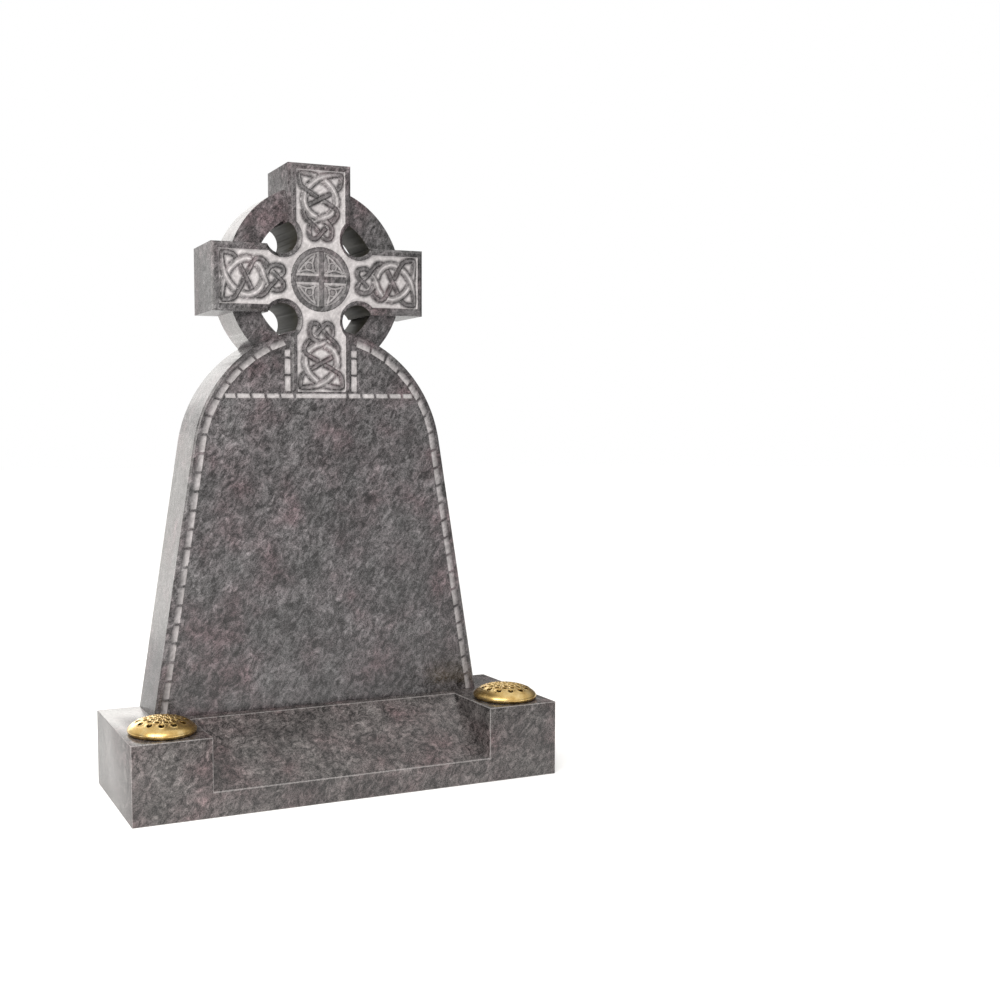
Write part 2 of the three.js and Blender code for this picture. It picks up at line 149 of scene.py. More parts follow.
def granite_colour(tree, seed, cast):
    """Colour and grain of the stone: grey crystals on a diagonal, dark lines, plum clouds; cast tints it."""
    place = node(tree, "TexCoord").outputs["Object"]
    shifted = node(tree, "Mapping", Vector=place, Location=(seed, seed * 1.7, seed * 0.6)).outputs[0]
    along = node(tree, "Mapping", {"vector_type": "TEXTURE"}, Vector=shifted,
                 Rotation=(0, radians(-54), radians(14)), Scale=(0.030, 0.013, 0.013)).outputs[0]
    streaks = node(tree, "TexNoise", Vector=along, Scale=1.0, Detail=6, Roughness=0.62, Distortion=1.6)
    mottle = node(tree, "TexNoise", Vector=shifted, Scale=62, Detail=6, Roughness=0.66, Distortion=1.2)
    grain = node(tree, "TexNoise", Vector=shifted, Scale=380, Detail=3, Roughness=0.7)
    clouds = node(tree, "TexNoise", Vector=shifted, Scale=9, Detail=5, Roughness=0.6, Distortion=0.5)
    aside = node(tree, "Mapping", Vector=shifted, Location=(3, 5, 1)).outputs[0]
    tint = node(tree, "TexNoise", Vector=aside, Scale=11, Detail=3, Roughness=0.55)
    fine = node(tree, "Math", {"operation": "MULTIPLY"}, _0=grain.outputs[0], _1=0.26).outputs[0]
    body = fine
    for noise, weight in ((mottle, 0.46), (streaks, 0.52)):
        body = node(tree, "Math", {"operation": "MULTIPLY_ADD"}, _0=noise.outputs[0], _1=weight,
                    _2=body).outputs[0]
    shade = ramp(tree, body, (0.48, 0.009), (0.55, 0.030), (0.61, 0.065), (0.67, 0.110), (0.77, 0.21))
    cloudy = mixed(tree, 1.0, shade, ramp(tree, clouds.outputs[0], (0.32, 0.66), (0.68, 1.26)), "MULTIPLY")
    coloured = mixed(tree, 1.0, cloudy,
                     ramp(tree, tint.outputs[0], (0.34, (1.0, 1.0, 1.0)), (0.48, (1.03, 0.98, 0.995)),
                          (0.58, (1.08, 0.955, 0.98)), (0.68, (1.18, 0.91, 0.955))), "MULTIPLY")
    winding = node(tree, "TexNoise", Vector=along, Scale=1.7, Detail=2, Roughness=0.5,
                   Distortion=2.2).outputs[0]
    offset = node(tree, "Math", {"operation": "SUBTRACT"}, _0=winding, _1=0.5).outputs[0]
    off_line = node(tree, "Math", {"operation": "ABSOLUTE"}, _0=offset).outputs[0]
    squiggles = ramp(tree, off_line, (0.0, 0.38), (0.028, 1.0))
    lined = mixed(tree, 1.0, coloured, squiggles, "MULTIPLY")
    return mixed(tree, 1.0, lined, cast, "MULTIPLY"), grain.outputs[0], body


def polished_granite(name, seed, cast):
    """Granite sawn and polished on every face."""
    material = bpy.data.materials.new(name)
    material.use_nodes = True
    tree = material.node_tree
    shader = tree.nodes["Principled BSDF"]
    colour, grain, body = granite_colour(tree, seed, cast)
    tree.links.new(colour, shader.inputs["Base Color"])
    tree.links.new(ramp(tree, grain, (0.3, 0.2), (0.7, 0.36)), shader.inputs["Roughness"])
    shader.inputs["IOR"].default_value = 1.54
    relief = node(tree, "Bump", Height=grain, Strength=0.04, Distance=0.0004)
    tree.links.new(relief.outputs[0], shader.inputs["Normal"])
    return material


def arris_highlight_granite(name, seed, cast):
    """The same stone on the eased arrises: rougher and less shiny, and mixed towards a pale grey as a
    painted highlight along the edges.
    """
    material = bpy.data.materials.new(name)
    material.use_nodes = True
    tree = material.node_tree
    shader = tree.nodes["Principled BSDF"]
    colour, grain, body = granite_colour(tree, seed, cast)
    # Pale grey mixed into the stone's colour: a painted highlight along the arrises.
    tree.links.new(mixed(tree, ramp(tree, grain, (0.35, 0.2), (0.65, 0.6)), colour, (0.42, 0.40, 0.40, 1)),
                   shader.inputs["Base Color"])
    tree.links.new(ramp(tree, grain, (0.3, 0.4), (0.7, 0.6)), shader.inputs["Roughness"])
    return material


def eased(piece, width, slot=-1):
    """Rounds the piece's outward sharp edges by a width; the slot is the material of the rounded strip."""
    bm = bmesh.new()
    bm.from_mesh(piece.data)
    weight = bm.edges.layers.float.new("bevel_weight_edge")
    for edge in bm.edges:
        if len(edge.link_faces) == 2 and edge.is_convex and edge.calc_face_angle() > radians(30):
            edge[weight] = 1
    bm.to_mesh(piece.data)
    bm.free()
    step = piece.modifiers.new("eased", "BEVEL")
    step.width = width
    step.segments = 2
    step.limit_method = "WEIGHT"
    step.material = slot
    baked(piece)


block = bmesh.new()
bmesh.ops.create_cube(block, size=1)
bmesh.ops.scale(block, vec=(base_width, base_depth, base_height), verts=block.verts)
bmesh.ops.translate(block, vec=(0, 0, base_height / 2), verts=block.verts)
base_cast = (1.05, 0.97, 0.955, 1)
base_stone = polished_granite("base_granite", 2.3, base_cast)
base = piece_from("memorial_base", block, base_stone, arris_highlight_granite("painted_arris_highlight", 2.3, base_cast))

wedge = bmesh.new()
fall = (base_height - lip_height) / slope_run
waste = 10 * mm
corners = [(front - waste, lip_height - waste * fall), (front + slope_run, base_height),
           (front + slope_run, base_height + waste), (front - waste, base_height + waste)]
start = base_width / 2 - end_block
profile = wedge.faces.new([wedge.verts.new((-start, y, z)) for y, z in corners])
sides = bmesh.ops.extrude_face_region(wedge, geom=[profile])["geom"]
bmesh.ops.translate(wedge, vec=(2 * start, 0, 0),
                    verts=[v for v in sides if isinstance(v, bmesh.types.BMVert)])
worked(base, piece_from("wedge", wedge, base_stone), "DIFFERENCE")

bores = bmesh.new()
for side in (-1, 1):
    bmesh.ops.create_cone(bores, cap_ends=True, segments=96, radius1=bore_radius, radius2=bore_radius,
                          depth=bore_depth + waste,
                          matrix=Matrix.Translation((side * pot_x, pot_y,
                                                     base_height + waste - (bore_depth + waste) / 2)))
worked(base, piece_from("bores", bores, base_stone), "DIFFERENCE")
# The eased strips take the second material, paler as a painted highlight along the base's edges.
eased(base, arris, 1)
base.data.shade_smooth()
base.data.set_sharp_from_angle(angle=radians(28))
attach(base, "root")
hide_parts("base")


# Headstone: one slab of granite 128 mm thick, its tablet, ring and wheel-head cross sawn from one piece.
# The knotwork, medallion and dashed border are sunk 3 mm by blasting, which leaves their ground pale.
stone_back = back
cross_front = back - 128 * mm
tablet_front = cross_front + 4 * mm
ring_front = cross_front + 29 * mm
stone_foot = base_height + 0.3 * mm
foot_half = 361 * mm
arch_radius = 275 * mm
arch_centre = base_height + 501 * mm
tablet_chamfer = 4 * mm
cross_centre = base_height + 874 * mm
arm_reach, arm_half, cross_chamfer = 231 * mm, 68 * mm, 7 * mm
armpit_offset, armpit_radius = 83 * mm, 34 * mm
ring_outer, ring_inner = 193 * mm, 138 * mm


def lean_of(radius):
    """Angle of the tablet's sides, which run tangent into the arch."""
    rise = arch_centre - stone_foot
    return atan2(foot_half, rise) - asin(radius / hypot(foot_half, rise))


def arc(bm, start, centre, angle, steps):
    """An upright arc of edges swept from a vertex; returns its vertices in order."""
    before = set(bm.verts)
    bmesh.ops.spin(bm, geom=[start], cent=centre, axis=(0, -1, 0), angle=angle, steps=steps,
                   dvec=(0, 0, 0), use_duplicate=False)
    swept = [v for v in bm.verts if v not in before]
    middle = Vector(centre)
    first = atan2(start.co.z - middle.z, start.co.x - middle.x)
    def turned(v):
        return (atan2(v.co.z - middle.z, v.co.x - middle.x) - first) * (1 if angle > 0 else -1) % (2 * pi)
    return [start] + sorted(swept, key=turned)


def closed(bm, verts):
    """Joins vertices in a ring with edges where they have none yet, and returns the ring's edges."""
    ring = []
    for a, b in zip(verts, verts[1:] + verts[:1]):
        ring.append(bm.edges.get((a, b)) or bm.edges.new((a, b)))
    return ring


def tablet_ring(bm, inset, y):
    """Outline of the tablet, drawn in by an inset, at depth y."""
    lean = lean_of(arch_radius)
    radius = arch_radius - inset
    start = bm.verts.new((radius * cos(lean), y, arch_centre + radius * sin(lean)))
    verts = arc(bm, start, (0, y, arch_centre), pi - 2 * lean, 120)
    foot = foot_half - inset / cos(lean)
    verts += [bm.verts.new((-foot, y, stone_foot)), bm.verts.new((foot, y, stone_foot))]
    return closed(bm, verts)


def cross_ring(bm, inset, y):
    """Outline of the cross with its round armpits, drawn in by an inset, at depth y."""
    half, reach, radius = arm_half - inset, arm_reach - inset, armpit_radius + inset
    gap = armpit_offset - half
    run = (radius ** 2 - gap ** 2) ** 0.5
    first = atan2(run, -gap)
    sweep = 2 * pi - 2 * first + pi / 2
    verts = []
    for quarter in range(4):
        turn = Matrix.Rotation(quarter * pi / 2, 3, "Y")
        at = lambda x, z: turn @ Vector((x, 0, z)) + Vector((0, y, cross_centre))
        centre = at(armpit_offset, armpit_offset)
        start = bm.verts.new(at(half, armpit_offset + run))
        verts.append(bm.verts.new(at(half, reach)))
        verts += arc(bm, start, centre, sweep, 48)
        verts.append(bm.verts.new(at(reach, half)))
    return closed(bm, verts)


def chamfered(outline, chamfer, front_y, back_y):
    """A slab between two depths with a chamfer round its front face."""
    bm = bmesh.new()
    rings = [outline(bm, chamfer, front_y), outline(bm, 0, front_y + chamfer), outline(bm, 0, back_y)]
    for a, b in zip(rings, rings[1:]):
        bmesh.ops.bridge_loops(bm, edges=a + b)
    bmesh.ops.contextual_create(bm, geom=rings[0])
    bmesh.ops.contextual_create(bm, geom=rings[2])
    return bm


def carved_granite(name, seed, cast):
    """The same stone where it is cut: polished strand tops and pale blasted ground, with dark outlines and
    darker strand sides that are painted shade.
    """
    material = bpy.data.materials.new(name)
    material.use_nodes = True
    tree = material.node_tree
    shader = tree.nodes["Principled BSDF"]
    colour, grain, body = granite_colour(tree, seed, cast)
    pale = node(tree, "Attribute", {"attribute_name": "pale"}).outputs["Fac"]
    frosted = ramp(tree, body, (0.45, (0.24, 0.228, 0.232)), (0.62, (0.37, 0.352, 0.358)),
                   (0.78, (0.52, 0.495, 0.505)))
    # Low paleness darkens the stone's own colour: this carries the painted shade of the outlines and the
    # strand sides.
    lines = mixed(tree, 1.0, colour, ramp(tree, pale, (0.0, 0.30), (0.25, 1.0)), "MULTIPLY")
    tree.links.new(mixed(tree, ramp(tree, pale, (0.25, 0.0), (0.95, 1.0)), lines, frosted),
                   shader.inputs["Base Color"])
    tree.links.new(ramp(tree, pale, (0.2, 0.22), (0.8, 0.85)), shader.inputs["Roughness"])
    shader.inputs["IOR"].default_value = 1.54
    relief = node(tree, "Bump", Height=grain, Strength=0.35, Distance=0.0008)
    tree.links.new(relief.outputs[0], shader.inputs["Normal"])
    return material


def opening_shade_granite(name, seed):
    """The same stone inside the openings of the wheel, cored, left dull and faintly lined, and coloured
    near-black as painted shade for the deep openings.
    """
    material = bpy.data.materials.new(name)
    material.use_nodes = True
    tree = material.node_tree
    shader = tree.nodes["Principled BSDF"]
    place = node(tree, "TexCoord").outputs["Object"]
    lines = node(tree, "TexNoise", Vector=node(tree, "Mapping", Vector=place, Scale=(48, 16, 48)).outputs[0],
                 Scale=1.0, Detail=4, Roughness=0.6).outputs[0]
    # Near-black colour: painted shade inside the openings.
    tree.links.new(ramp(tree, lines, (0.35, (0.010, 0.0095, 0.006)), (0.55, (0.018, 0.0165, 0.0105)),
                        (0.72, (0.034, 0.031, 0.021))), shader.inputs["Base Color"])
    shader.inputs["Roughness"].default_value = 0.62
    shader.inputs["Specular IOR Level"].default_value = 0.25
    tree.links.new(node(tree, "Bump", Height=lines, Strength=0.3, Distance=0.0008).outputs[0],
                   shader.inputs["Normal"])
    return material


stone_cast = (0.97, 0.935, 0.965, 1)
stone_finishes_and_shade = (polished_granite("headstone_granite", 0.0, stone_cast),
                  carved_granite("blasted_granite", 0.0, stone_cast),
                  opening_shade_granite("opening_painted_shade", 0.0))
headstone = piece_from("carved_headstone", chamfered(tablet_ring, tablet_chamfer, tablet_front, stone_back),
                       *stone_finishes_and_shade)
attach(headstone, "root")
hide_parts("headstone")
cross_stone = chamfered(cross_ring, cross_chamfer, cross_front, stone_back)
# The armpit faces take the third material, the near-black opening stone that is painted shade.
for face in cross_stone.faces:
    middle = face.calc_center_median()
    to_armpit = hypot(abs(middle.x) - armpit_offset, abs(middle.z - cross_centre) - armpit_offset)
    if to_armpit < armpit_radius + 0.5 * mm and len(face.verts) == 4:
        face.material_index = 2
cross = piece_from("cross", cross_stone, *stone_finishes_and_shade)
wheel = bmesh.new()
section = [wheel.verts.new((r, y, cross_centre)) for r, y in
           ((ring_inner, ring_front), (ring_outer, ring_front),
            (ring_outer, stone_back), (ring_inner, stone_back))]
bmesh.ops.spin(wheel, geom=section + closed(wheel, section), cent=(0, 0, cross_centre), axis=(0, 1, 0),
               angle=2 * pi, steps=160, use_merge=True, use_duplicate=False)
# The ring's inner faces take the same near-black opening stone, painted shade.
for face in wheel.faces:
    middle = face.calc_center_median()
    if hypot(middle.x, middle.z - cross_centre) < ring_inner + 0.5 * mm:
        face.material_index = 2
worked(headstone, piece_from("wheel", wheel, *stone_finishes_and_shade), "UNION")
worked(headstone, cross, "UNION")
eased(headstone, 0.6 * mm)

# The sunk panel of the cross: ground 3 mm down, with strands left standing nearly to the polished face.
# Each strand is a closed line of [across the arm, outwards from the centre, width, passes under], in mm.
carve_depth = 3.0
panel_half, panel_reach, lower_panel_reach = 53.5, 217.5, 229.0
panel_wall, panel_rim = 1.4, 1.5
strand_top = 0.3
strand_wide, strand_thin = 15, 9
lower_knot_shift = 8.0
strand = [
    (0, 203, 14, False), (-18, 191, strand_wide, False), (-30, 176, strand_wide, True),
    (-35.5, 159, strand_wide, False), (-31, 142, strand_wide, False), (-18, 129, strand_wide, False),
    (0, 122, 13, True), (18, 112, 10, False), (25, 99, strand_thin, False), (22, 84, strand_thin, False),
    (11, 81, strand_thin, False), (0, 91, strand_thin, True), (-17, 109, strand_thin, False),
    (-31, 120, strand_thin, False), (-37, 132, strand_thin, False), (-31, 144, strand_thin, True),
    (0, 161, 9.5, False), (30, 177, strand_thin, True), (42, 186, strand_thin, False),
    (46, 199, strand_thin, False), (44, 210, strand_thin, False), (22, 209, 11, False),
]
mirrored_under = (0, 4, 7, 12, 16)


def smooth(low, high, value):
    """Smooth step from 0 at low to 1 at high."""
    t = np.clip((value - low) / (high - low), 0, 1)
    return t * t * (3 - 2 * t)


def passes(mirror):
    """Runs of one strand between the crossings where it passes under, as arrays of [u, v, width]."""
    steps = 8
    points = np.array([p[:3] for p in strand], float)
    a, b, c, d = (np.roll(points, shift, axis=0) for shift in (1, 0, -1, -2))
    curve = []
    for t in np.arange(steps) / steps:
        bend = 0.5 * (2 * b + (c - a) * t + (2 * a - 5 * b + 4 * c - d) * t ** 2
                      + (3 * b - a - 3 * c + d) * t ** 3)
        bend[:, 2] = b[:, 2] + (c[:, 2] - b[:, 2]) * t
        curve.append(bend)
    curve = np.stack(curve, axis=1).reshape(-1, 3)
    curve[:, 0] *= mirror
    under = [i for i, p in enumerate(strand) if p[3]] if mirror > 0 else list(mirrored_under)
    runs = []
    for first, last in zip(under, under[1:] + [under[0] + len(strand)]):
        runs.append(curve[np.arange(first * steps, last * steps + 1) % len(curve)])
    return runs


def beside(u, v, run):
    """Distance of points from a run, with the run's half width and its distance to the nearer end there."""
    start, step = run[:-1, :2], np.diff(run[:, :2], axis=0)
    length = np.hypot(*step.T)
    travelled = np.concatenate([[0], np.cumsum(length)])
    du, dv = u[:, None] - start[:, 0], v[:, None] - start[:, 1]
    t = np.clip((du * step[:, 0] + dv * step[:, 1]) / length ** 2, 0, 1)
    away = np.hypot(du - t * step[:, 0], dv - t * step[:, 1])
    nearest = away.argmin(axis=1)
    row = np.arange(len(u))
    share = t[row, nearest]
    width = run[nearest, 2] * (1 - share) + run[nearest + 1, 2] * share
    reached = travelled[nearest] + share * length[nearest]
    return away[row, nearest], width / 2, np.minimum(reached, travelled[-1] - reached)


def knot(u, v):
    """Depth and paleness of one arm's knot at points across and along the arm."""
    depth = np.full(len(u), carve_depth)
    pale = np.ones(len(u))
    rows = []
    for mirror in (1, -1):
        for run in passes(mirror):
            away, half, end = beside(u, v, run)
            top = carve_depth - (carve_depth - strand_top) * smooth(3.5, 12, end)
            share = away / half
            here = top + 0.35 * share ** 2 + (carve_depth - top) * smooth(0.72, 1.0, share)
            line = (half / 7.5) ** 0.5
            here = here + 0.8 * (1 - smooth(0.5 * line, 2.2 * line, away))
            ridge = (1 - smooth(0.9 * line, 2.6 * line, away)) * smooth(4, 7.5, half)
            broad = smooth(4.6, 7.0, half)
            # Wide ring strands are paler than thin ones, and every strand darkens towards its rolled sides
            # as painted shade.
            shade = 0.27 + 0.24 * broad - 0.2 * smooth(0.5, 0.95, share)
            shade = shade + (0.03 + 0.42 * ridge) * (share < 0.6)
            rows.append((away - half, top))
            closer = (share < 1) & (here < depth)
            depth = np.where(closer, here, depth)
            pale = np.where(closer, shade, pale)
    nearest = np.min([outside for outside, _ in rows], axis=0)
    # Open ground darkens within about 7 mm of a strand: painted shade beside the strands' walls.
    pale = np.where(nearest > 0, 0.5 + 0.5 * smooth(1.5, 7.0, nearest), pale)
    # Ground just beside a higher strand is darkened into a dark outline: painted shade at the strand's foot.
    for outside, top in rows:
        edge = (outside > -0.3) & (top + 0.5 < depth)
        pale = np.where(edge, pale * (0.42 + 0.58 * smooth(0.2, 2.2, outside)), pale)
    return depth, pale


# The medallion on the crossing: polished rim, sunk pale lines, two bars and a small knot in each quarter.
medal_radius, medal_rim, medal_line = 64.0, 9.0, 3.0
bar_half, bar_line = 6.5, 4.0


def quarter_knot(x, z):
    """Depth and paleness of the three-cornered knot, drawn in the quarter where x and z are positive."""
    near, far = bar_half + bar_line + 4, medal_radius - medal_rim - medal_line - 3
    lean = asin(near / far)
    corners = np.array([(near, near), (far * cos(lean), near), (near, far * cos(lean))])
    middle = corners.mean(axis=0)
    depth, pale = np.full(len(x), 1.6), np.full(len(x), 0.40)
    rows = []
    for i, corner in enumerate(corners):
        following = corners[(i + 1) % 3]
        t = np.linspace(-0.12, 1.12, 15)[:, None]
        bow = 4 * t * (1 - t) * (0.32 if i == 1 else -0.38)
        line = corner + (following - corner) * t
        line = line + (line - middle) * bow
        run = np.hstack([line, np.full((len(line), 1), 4.4)])
        rows.append(beside(x, z, run))
    loop = np.linspace(0, 2 * pi, 17)[:, None]
    round_band = np.hstack([middle + 8.5 * np.hstack([np.cos(loop), np.sin(loop)]), np.full((17, 1), 3.4)])
    rows.append(beside(x, z, round_band))
    for away, half, _ in rows:
        share = away / half
        here = 0.5 + 0.9 * smooth(0.6, 1.0, share)
        closer = (share < 1) & (here < depth)
        depth = np.where(closer, here, depth)
        # Knot bands darken towards their sides, and the deeper ground beside them darkens into an outline:
        # painted shade.
        pale = np.where(closer, 0.58 - 0.3 * smooth(0.6, 1, share), pale)
        outline = (share >= 1) & (depth > 1.2)
        pale = np.where(outline, pale * (0.25 + 0.75 * smooth(0.2, 1.8, away - half)), pale)
    return depth, pale


def medallion(x, z):
    """Depth and paleness on the crossing, and where the medallion covers it."""
    r = np.hypot(x, z)
    ax, az = np.abs(x), np.abs(z)
    depth, pale = quarter_knot(ax, az)
    inner = medal_radius - medal_rim
    lines = (az < bar_half + bar_line) | (ax < bar_half + bar_line - 1) | (r > inner - medal_line)
    line_shade = np.where(r > inner - medal_line, 0.5, 0.45)
    line_shade = np.where((az < bar_half + bar_line) & (r < inner), 0.72, line_shade)
    depth, pale = np.where(lines, 1.7, depth), np.where(lines, line_shade, pale)
    for across, half, top, shade in ((az, bar_half, 0.6, 0.26), (ax, bar_half, 0.3, 0.32)):
        inside = (across < half) & (r < inner + 1)
        depth = np.where(inside, top + 1.1 * smooth(half - 1.4, half, across), depth)
        # Bars darken towards their edges: painted shade.
        pale = np.where(inside, shade - 0.12 * smooth(half - 2, half, across), pale)
    rim = r > inner
    middle = np.abs(r - (medal_radius + inner) / 2) / (medal_rim / 2)
    depth = np.where(rim, 0.3 + 1.4 * smooth(0.72, 1, middle), depth)
    # The rim darkens where it rolls down at both edges: painted shade.
    pale = np.where(rim, 0.31 - 0.14 * smooth(0.5, 1, middle), pale)
    outer = smooth(medal_radius - 0.5, medal_radius + 1.2, r)
    return depth * (1 - outer) + carve_depth * outer, pale, r < medal_radius + 1.2


def cross_carving(x, z):
    """Depth below the cross's face and paleness of the carved stone, x and z in mm from its centre."""
    along = np.maximum(np.abs(x), np.abs(z))
    across = np.minimum(np.abs(x), np.abs(z))
    lower = (z < 0) & (np.abs(z) >= np.abs(x))
    reach = np.where(lower, lower_panel_reach, panel_reach)
    side = np.where(along > 60, panel_half - across, carve_depth)
    hollow = np.hypot(np.abs(x) - armpit_offset / mm, np.abs(z) - armpit_offset / mm)
    side = np.minimum(side, hollow - (armpit_radius + cross_chamfer) / mm - panel_rim)
    depth = carve_depth * np.minimum(np.clip(np.minimum(side, reach - along) / panel_wall, -0.4, 1), 1)
    pale = np.ones(len(x))
    flat = depth >= carve_depth
    for quarter in range(4):
        turn = quarter * pi / 2
        u, v = x * cos(turn) - z * sin(turn), x * sin(turn) + z * cos(turn)
        arm = flat & (v >= np.abs(u)) & (v > 60)
        shift = lower_knot_shift if quarter == 2 else 0.0
        depth[arm], pale[arm] = knot(u[arm], v[arm] - shift)
    near = (along < medal_radius + 2)
    d, p, on = medallion(x[near], z[near])
    depth[near] = np.where(on, d, depth[near])
    pale[near] = np.where(on, p, pale[near])
    return depth, pale


cell = 1.15 * mm
margin = 4 * mm
sunk = bmesh.new()
count = int(2 * (arm_reach + margin) / cell)
bmesh.ops.create_grid(sunk, x_segments=count, y_segments=count, size=arm_reach + margin)
beyond = panel_half * mm + 3 * mm
spare = []
for face in sunk.faces:
    a, b = sorted((abs(face.calc_center_median().x), abs(face.calc_center_median().y)))
    to_armpit = hypot(a - armpit_offset, b - armpit_offset)
    if a > beyond or b > (lower_panel_reach + 2.5) * mm or to_armpit < armpit_radius + margin:
        spare.append(face)
bmesh.ops.delete(sunk, geom=spare, context="FACES")
spots = np.array([v.co[:2] for v in sunk.verts]) / mm
depths, _ = cross_carving(spots[:, 0], spots[:, 1])
for vert, depth in zip(sunk.verts, depths):
    vert.co = (vert.co.x, cross_front + depth * mm, cross_centre + vert.co.y)
above = bmesh.ops.extrude_face_region(sunk, geom=sunk.faces[:])["geom"]
for part in above:
    if isinstance(part, bmesh.types.BMVert):
        part.co.y = cross_front - 6 * mm
for face in sunk.faces:
    face.material_index = 1

# The dashed border: slanted pockets round the tablet, deep on their inner side and shallow on the outer.
dash_deep, dash_shallow = 2.5 * mm, 0.6 * mm
border_edge, border_width, border_slant = 10 * mm, 14 * mm, 3 * mm
border_pitch, border_gap = 38.1 * mm, 4.5 * mm
row_height, row_width, row_pitch = base_height + 638.5 * mm, 9.5 * mm, 31 * mm
flank_inner, flank_width, flank_pitch = 67 * mm, 12.5 * mm, 35 * mm
shortest_dash = 9 * mm
dashes = bmesh.new()


def dash(x, z, angle, side, length, width, slant, shallow):
    """One pocket; its length runs at an angle from upright-to-side, and side is the outer side."""
    made = bmesh.ops.create_cube(dashes, size=2)["verts"]
    across = Vector((side * cos(angle), 0, sin(angle)))
    along = Vector((-side * sin(angle), 0, cos(angle)))
    for v in made:
        a, c, d = v.co
        floor_depth = (shallow if c > 0 else dash_deep) if d > 0 else -1 * mm
        v.co = (Vector((x, tablet_front + floor_depth, z)) + along * (a * length + c * slant) / 2
                + across * c * width / 2)


def dash_run(low, high, pitch):
    """Middles and lengths of the pockets that fill a run, the last one cut short where the run ends."""
    run = []
    while low + shortest_dash < high:
        end = min(low + pitch - border_gap, high)
        run.append(((low + end) / 2, end - low))
        low += pitch
    return run


def border_dashes(side):
    """Pockets up one side of the tablet and over its arch to the lower arm of the cross."""
    inset = border_edge + border_width / 2
    lean, radius = lean_of(arch_radius), arch_radius - inset
    foot = Vector((foot_half - inset / cos(lean), stone_foot))
    bend = Vector((radius * cos(lean), arch_centre + radius * sin(lean)))
    straight = (bend - foot).length
    total = straight + radius * (acos((flank_inner + flank_width) / radius) - lean)
    for place, length in dash_run(0, total, border_pitch):
        if place < straight:
            x, z = foot + (bend - foot) * place / straight
            angle = lean
        else:
            angle = lean + (place - straight) / radius
            x, z = radius * cos(angle), arch_centre + radius * sin(angle)
        dash(side * x, z, angle, side, length, border_width, side * border_slant, dash_shallow)


def level_dashes(side):
    """Pockets of the level row under the cross and of the upright row beside its lower arm."""
    inner = arch_radius - border_edge - border_width - 3 * mm
    end = (inner ** 2 - (row_height - arch_centre) ** 2) ** 0.5
    for place, length in dash_run(flank_inner - 6 * mm, end, row_pitch):
        dash(side * place, row_height, pi / 2, 1, length, row_width, 2 * mm, dash_deep)
    x = flank_inner + flank_width / 2
    bottom = row_height + row_width / 2 + border_gap
    top = arch_centre + (inner ** 2 - x ** 2) ** 0.5 - flank_width / 2
    for z, length in dash_run(bottom, top, flank_pitch):
        dash(side * x, z, 0, side, length, flank_width, 0, dash_deep)


for side in (-1, 1):
    border_dashes(side)
    level_dashes(side)
dash(0, row_height, pi / 2, 1, 2 * (arm_half - 12 * mm), row_width, 0, dash_deep)
for face in dashes.faces:
    face.material_index = 1


worked(headstone, piece_from("sunk_panel", sunk, *stone_finishes_and_shade), "DIFFERENCE")
worked(headstone, piece_from("dashes", dashes, *stone_finishes_and_shade), "DIFFERENCE")

mesh = headstone.data
mesh.shade_smooth()
mesh.set_sharp_from_angle(angle=radians(32))
places = np.zeros(3 * len(mesh.vertices))
mesh.vertices.foreach_get("co", places)
places = places.reshape(-1, 3)
corner_vertex = np.zeros(len(mesh.loops), int)
mesh.loops.foreach_get("vertex_index", corner_vertex)
face_sizes = np.zeros(len(mesh.polygons), int)
mesh.polygons.foreach_get("loop_total", face_sizes)
face_slots = np.zeros(len(mesh.polygons), int)
mesh.polygons.foreach_get("material_index", face_slots)
is_cut = np.repeat(face_slots, face_sizes) == 1
x, y, z = (places[corner_vertex] / mm).T
z = z - cross_centre / mm
on_cross = ((np.abs(x) < panel_half + 1) | (np.abs(z) < panel_half + 1)) & (z > -lower_panel_reach - 1)
paleness = np.full(len(x), 0.25)
paleness[is_cut] = 0.25 + 0.75 * smooth(1.1, 2.2, y[is_cut] - tablet_front / mm)
panel_corners = is_cut & on_cross
paleness[panel_corners] = cross_carving(x[panel_corners], z[panel_corners])[1]
mesh.attributes.new("pale", "FLOAT", "CORNER").data.foreach_set("value", paleness)


# Flower containers: spun metal pots, a duller gold than their lids, hanging in the bores by a flange.
# Each hangs clear of the stone and has a rounded foot and a turned-over rim.
pot_clearance, pot_wall = 1 * mm, 1.5 * mm
flange_radius, flange_thickness = 61.5 * mm, 1.5 * mm
flange_low = base_height + 0.3 * mm
pot_low = base_height - bore_depth + 0.3 * mm


def gold(name, rough_low, rough_high, tone):
    """Gold-coloured metal with cloudy handling marks and a slightly uneven surface; tone 1 is bright."""
    material = bpy.data.materials.new(name)
    material.use_nodes = True
    tree = material.node_tree
    shader = tree.nodes["Principled BSDF"]
    shader.inputs["Metallic"].default_value = 1
    place = node(tree, "TexCoord").outputs["Object"]
    cloud = node(tree, "TexNoise", Vector=place, Scale=55, Detail=5, Roughness=0.6).outputs[0]
    fine = node(tree, "TexNoise", Vector=place, Scale=700, Detail=3, Roughness=0.6).outputs[0]
    metal = ramp(tree, cloud, (0.3, (0.42, 0.26, 0.08)), (0.52, (0.66, 0.46, 0.18)),
                 (0.72, (0.80, 0.62, 0.31)))
    tree.links.new(mixed(tree, 1.0, metal, (tone, tone, tone, 1), "MULTIPLY"), shader.inputs["Base Color"])
    tree.links.new(ramp(tree, cloud, (0.3, rough_high), (0.7, rough_low)), shader.inputs["Roughness"])
    tree.links.new(node(tree, "Bump", Height=fine, Strength=0.08, Distance=0.0003).outputs[0],
                   shader.inputs["Normal"])
    return material


